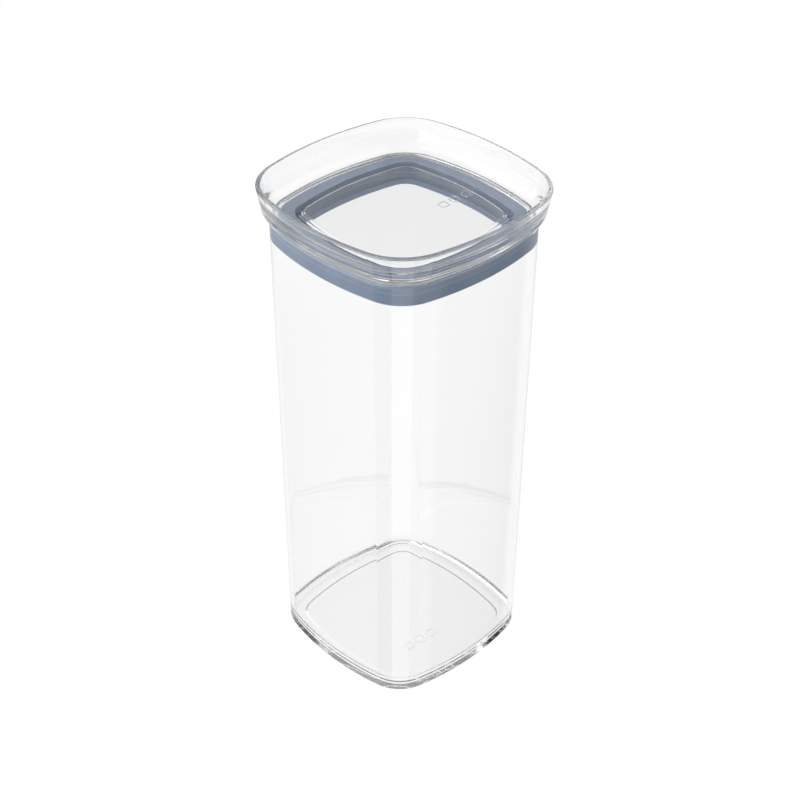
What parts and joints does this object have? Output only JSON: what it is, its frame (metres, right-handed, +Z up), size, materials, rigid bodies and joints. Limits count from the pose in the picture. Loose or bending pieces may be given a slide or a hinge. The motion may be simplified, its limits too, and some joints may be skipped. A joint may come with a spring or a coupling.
{
  "type": "lidded canister",
  "caption": "Tall clear rounded-square storage canister with a lift-off lid, a flared border and a slate-blue press-in seal.",
  "frame": {"origin": "centre of the foot, on the plane the canister stands on", "axes": "+Z up through the lid; the four bowed sides face +X, -X, +Y and -Y"},
  "size_m": [0.1138, 0.1138, 0.248],
  "materials": {
    "clear_body": "clear, polished, colourless, thin draft-tapered walls",
    "clear_lid": "clear, polished, colourless, moulded",
    "seal_rubber": "satin slate-blue elastomer"
  },
  "bodies": {
    "container": {"container": "clear_body"},
    "lid": {"lid": "clear_lid", "seal": "seal_rubber"}
  },
  "joints": [
    {"name": "lid_lift", "type": "slide", "parent": "container", "child": "lid", "axis": [0, 0, 1], "range_m": [0, 0.06]}
  ]
}
